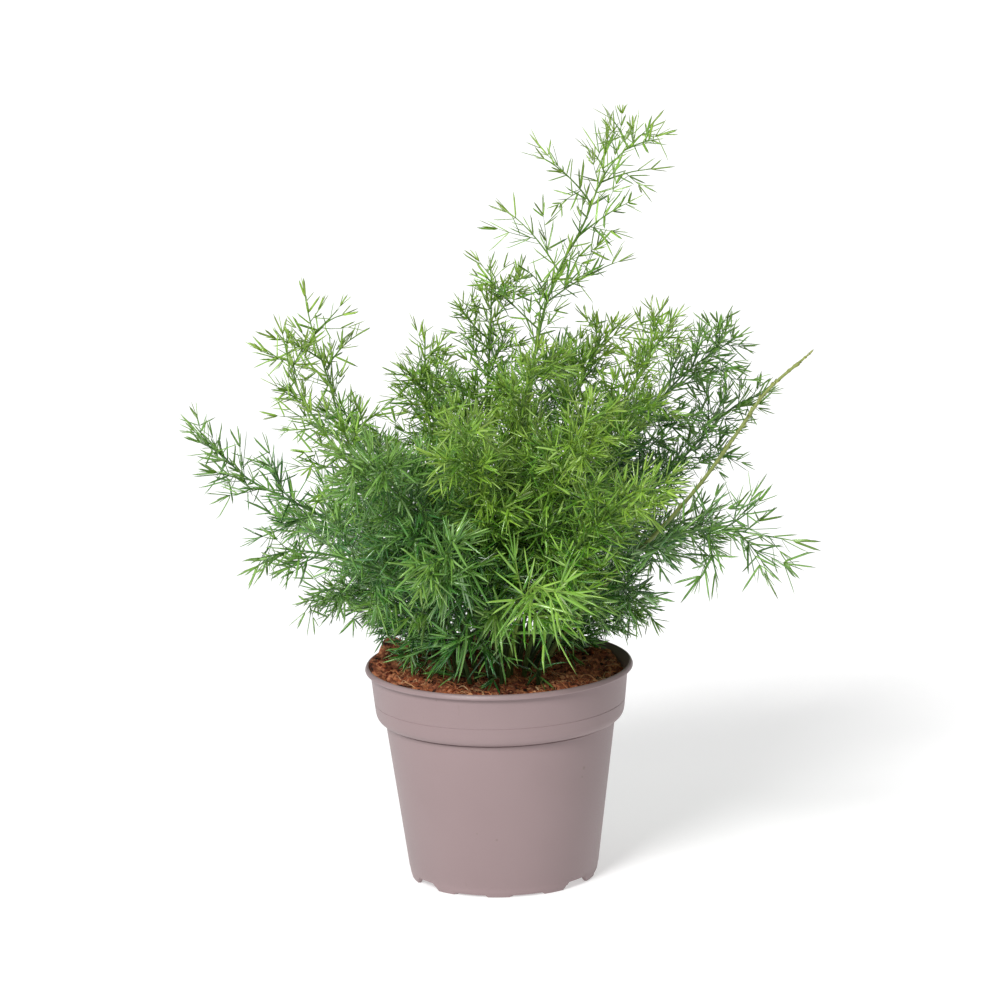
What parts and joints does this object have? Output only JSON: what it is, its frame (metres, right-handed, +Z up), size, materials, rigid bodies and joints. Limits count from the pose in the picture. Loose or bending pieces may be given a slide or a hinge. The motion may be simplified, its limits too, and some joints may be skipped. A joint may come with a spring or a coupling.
{
  "type": "potted plant",
  "caption": "Bushy potted asparagus fern: arching canes with fine needle leaves, rooted in soil in a round tapered plastic nursery pot.",
  "frame": {"origin": "centre of the flat disc under the pot, on the floor the pot stands on", "axes": "+Z up along the pot's axis, -Y towards the viewer of the picture, +X to the viewer's right"},
  "size_m": [0.2833, 0.2405, 0.3478],
  "materials": {
    "pot_plastic": "satin",
    "soil": "matte",
    "leaf_fresh": "satin",
    "leaf_deep": "satin",
    "leaf_bright": "satin",
    "leaf_young": "satin"
  },
  "bodies": {
    "root": {"pot": "pot_plastic", "soil": "soil", "cane_tall": "leaf_fresh", "cane_left_high": "leaf_fresh", "cane_left_fore": "leaf_fresh", "cane_far_left": "leaf_deep", "cane_left_low": "leaf_deep", "cane_left_droop": "leaf_deep", "cane_centre_high": "leaf_fresh", "cane_mid_left": "leaf_fresh", "cane_mid_right": "leaf_fresh", "cane_right_high": "leaf_fresh", "cane_right_top": "leaf_deep", "cane_right_back": "leaf_deep", "cane_young": "leaf_young", "cane_right_low": "leaf_deep", "cane_right_droop": "leaf_deep", "cane_front_bright": "leaf_bright", "cane_front_low": "leaf_deep", "cane_front_left": "leaf_deep", "cane_front_mid": "leaf_fresh", "cane_front_right": "leaf_fresh", "cane_front_far_right": "leaf_fresh", "cane_fore_centre": "leaf_fresh", "cane_back_left": "leaf_deep", "cane_back_far_left": "leaf_deep", "cane_back_mid": "leaf_deep", "cane_back_high": "leaf_deep", "cane_back_right": "leaf_deep", "cane_back_far_right": "leaf_deep", "cane_low_left": "leaf_deep", "cane_low_fore": "leaf_deep", "cane_low_right": "leaf_deep", "cane_low_fore_left": "leaf_deep", "cane_low_back_right": "leaf_deep", "cane_low_back_left": "leaf_deep", "cane_back_low": "leaf_deep"}
  },
  "joints": []
}
